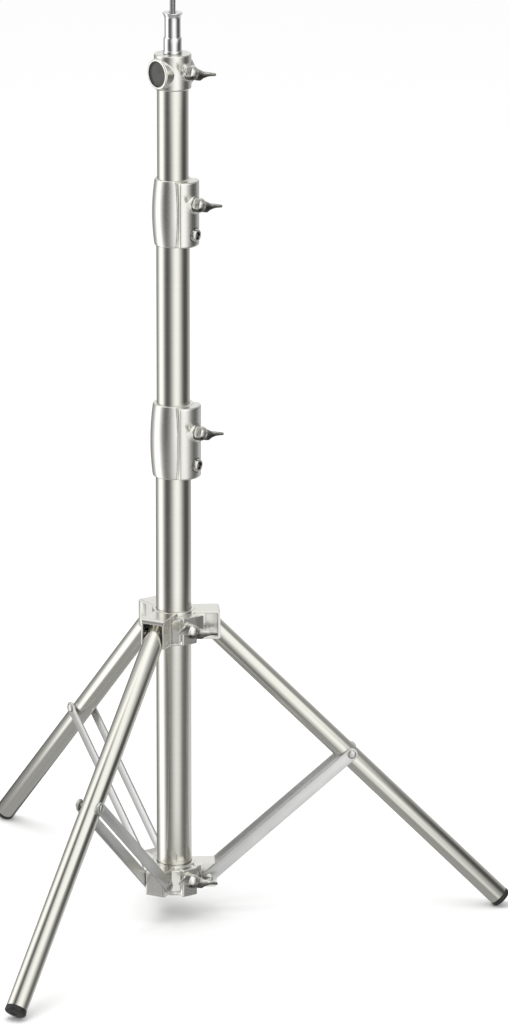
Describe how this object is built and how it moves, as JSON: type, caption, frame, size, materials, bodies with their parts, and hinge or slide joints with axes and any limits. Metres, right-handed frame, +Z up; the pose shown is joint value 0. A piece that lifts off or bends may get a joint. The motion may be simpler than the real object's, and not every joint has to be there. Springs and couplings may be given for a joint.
{
  "type": "tripod stand",
  "caption": "Metal light stand: telescopic mast with wing-screw locks, lift-out stud and folding tripod legs with paired brace bars.",
  "frame": {"origin": "centre of the flat face under the mast, on the mast's axis", "axes": "+Z up along the mast, +X out along the leg named right, +Y to its left seen from above"},
  "size_m": [0.5205, 0.5976, 0.9476],
  "materials": {
    "mast_steel": "satin stainless",
    "leg_steel": "satin stainless",
    "bar_steel": "matt plated flat bar",
    "pin_steel": "turned and plated",
    "bolt_chrome": "bright plated",
    "stud_chrome": "bright plated",
    "nylon": "natural moulded",
    "black_plastic": "black moulded",
    "plug_plastic": "dark grey moulded",
    "wing_casting": "die cast, satin nickel plated",
    "casting": "die cast, satin nickel plated"
  },
  "bodies": {
    "crown": {"crown_bracket": "casting", "crown_pad": "nylon", "leg_pivot_pin_right": "pin_steel", "leg_pivot_pin_rear": "pin_steel", "leg_pivot_pin_front": "pin_steel"},
    "spreader": {"spreader_bracket": "casting", "spreader_pad": "nylon", "brace_pivot_pin_right": "pin_steel", "brace_pivot_pin_rear": "pin_steel", "brace_pivot_pin_front": "pin_steel"},
    "mast": {"mast_tube": "mast_steel", "mast_base_cap": "black_plastic", "lower_collar": "casting", "lower_collar_bolt": "bolt_chrome", "lower_collar_pad": "nylon"},
    "middle_section": {"middle_tube": "mast_steel", "middle_tube_bush": "nylon", "upper_collar": "casting", "upper_collar_bolt": "bolt_chrome", "upper_collar_pad": "nylon"},
    "top_section": {"top_tube": "mast_steel", "top_tube_bush": "nylon", "head_casting": "casting", "head_fixing_pin": "pin_steel", "head_socket_plug": "plug_plastic", "head_pad": "nylon"},
    "stud": {"stud": "stud_chrome", "stud_camera_screw": "stud_chrome"},
    "leg_right": {"leg_tube_right": "leg_steel", "leg_foot_right": "black_plastic", "leg_rivet_right": "pin_steel"},
    "brace_right": {"brace_bar_right_left": "bar_steel", "brace_bar_right_right": "bar_steel", "brace_rivet_right_left": "pin_steel", "brace_rivet_right_right": "pin_steel"},
    "leg_rear": {"leg_tube_rear": "leg_steel", "leg_foot_rear": "black_plastic", "leg_rivet_rear": "pin_steel"},
    "brace_rear": {"brace_bar_rear_left": "bar_steel", "brace_bar_rear_right": "bar_steel", "brace_rivet_rear_left": "pin_steel", "brace_rivet_rear_right": "pin_steel"},
    "leg_front": {"leg_tube_front": "leg_steel", "leg_foot_front": "black_plastic", "leg_rivet_front": "pin_steel"},
    "brace_front": {"brace_bar_front_left": "bar_steel", "brace_bar_front_right": "bar_steel", "brace_rivet_front_left": "pin_steel", "brace_rivet_front_right": "pin_steel"},
    "head_wing_screw": {"head_wing_screw": "wing_casting"},
    "upper_collar_wing_screw": {"upper_collar_wing_screw": "wing_casting"},
    "lower_collar_wing_screw": {"lower_collar_wing_screw": "wing_casting"},
    "crown_wing_screw": {"crown_wing_screw": "wing_casting"},
    "spreader_wing_screw": {"spreader_wing_screw": "wing_casting"}
  },
  "joints": [
    {"name": "tripod_fold", "type": "slide", "parent": "crown", "child": "spreader", "axis": [0, 0, -1], "range_m": [0, 0.12383]},
    {"name": "leg_hinge_right", "type": "hinge", "parent": "crown", "child": "leg_right", "pos_m": [0.038, 0, 0.283], "axis": [0, 1, 0], "range_deg": [0, 41.8]},
    {"name": "leg_hinge_rear", "type": "hinge", "parent": "crown", "child": "leg_rear", "pos_m": [-0.019, 0.03291, 0.283], "axis": [-0.866, -0.5, 0], "range_deg": [0, 41.8]},
    {"name": "leg_hinge_front", "type": "hinge", "parent": "crown", "child": "leg_front", "pos_m": [-0.019, -0.03291, 0.283], "axis": [0.866, -0.5, 0], "range_deg": [0, 41.8]},
    {"name": "brace_hinge_right", "type": "hinge", "parent": "spreader", "child": "brace_right", "pos_m": [0.034, 0, 0.01578], "axis": [0, -1, 0], "range_deg": [0, 42.85]},
    {"name": "brace_hinge_rear", "type": "hinge", "parent": "spreader", "child": "brace_rear", "pos_m": [-0.017, 0.02944, 0.01578], "axis": [0.866, 0.5, 0], "range_deg": [0, 42.85]},
    {"name": "brace_hinge_front", "type": "hinge", "parent": "spreader", "child": "brace_front", "pos_m": [-0.017, -0.02944, 0.01578], "axis": [-0.866, 0.5, 0], "range_deg": [0, 42.85]},
    {"name": "mast_height", "type": "slide", "parent": "spreader", "child": "mast", "axis": [0, 0, 1], "range_m": [-0.012, 0]},
    {"name": "middle_extension", "type": "slide", "parent": "mast", "child": "middle_section", "axis": [0, 0, 1], "range_m": [-0.16, 0.19]},
    {"name": "top_extension", "type": "slide", "parent": "middle_section", "child": "top_section", "axis": [0, 0, 1], "range_m": [-0.085, 0.29]},
    {"name": "stud_lift", "type": "slide", "parent": "top_section", "child": "stud", "axis": [0, 0, 1], "range_m": [0, 0.045]},
    {"name": "head_wing_turn", "type": "hinge", "parent": "top_section", "child": "head_wing_screw", "pos_m": [0.01546, -0.01392, 0.8525], "axis": [0.7431, -0.6691, 0], "continuous": true},
    {"name": "upper_collar_wing_turn", "type": "hinge", "parent": "middle_section", "child": "upper_collar_wing_screw", "pos_m": [0.0223, -0.01742, 0.721], "axis": [0.788, -0.6157, 0], "continuous": true},
    {"name": "lower_collar_wing_turn", "type": "hinge", "parent": "mast", "child": "lower_collar_wing_screw", "pos_m": [0.02411, -0.01884, 0.4886], "axis": [0.788, -0.6157, 0], "continuous": true},
    {"name": "crown_wing_turn", "type": "hinge", "parent": "crown", "child": "crown_wing_screw", "pos_m": [0.0179, -0.031, 0.285], "axis": [0.5, -0.866, 0], "continuous": true},
    {"name": "spreader_wing_turn", "type": "hinge", "parent": "spreader", "child": "spreader_wing_screw", "pos_m": [0.01765, -0.03057, 0.019], "axis": [0.5, -0.866, 0], "continuous": true}
  ],
  "couplings": [
    {"joint": "leg_hinge_right", "follows": "tripod_fold", "rad_per_m": 5.8911},
    {"joint": "leg_hinge_rear", "follows": "tripod_fold", "rad_per_m": 5.8911},
    {"joint": "leg_hinge_front", "follows": "tripod_fold", "rad_per_m": 5.8911},
    {"joint": "brace_hinge_right", "follows": "tripod_fold", "rad_per_m": 6.0346},
    {"joint": "brace_hinge_rear", "follows": "tripod_fold", "rad_per_m": 6.0346},
    {"joint": "brace_hinge_front", "follows": "tripod_fold", "rad_per_m": 6.0346}
  ]
}
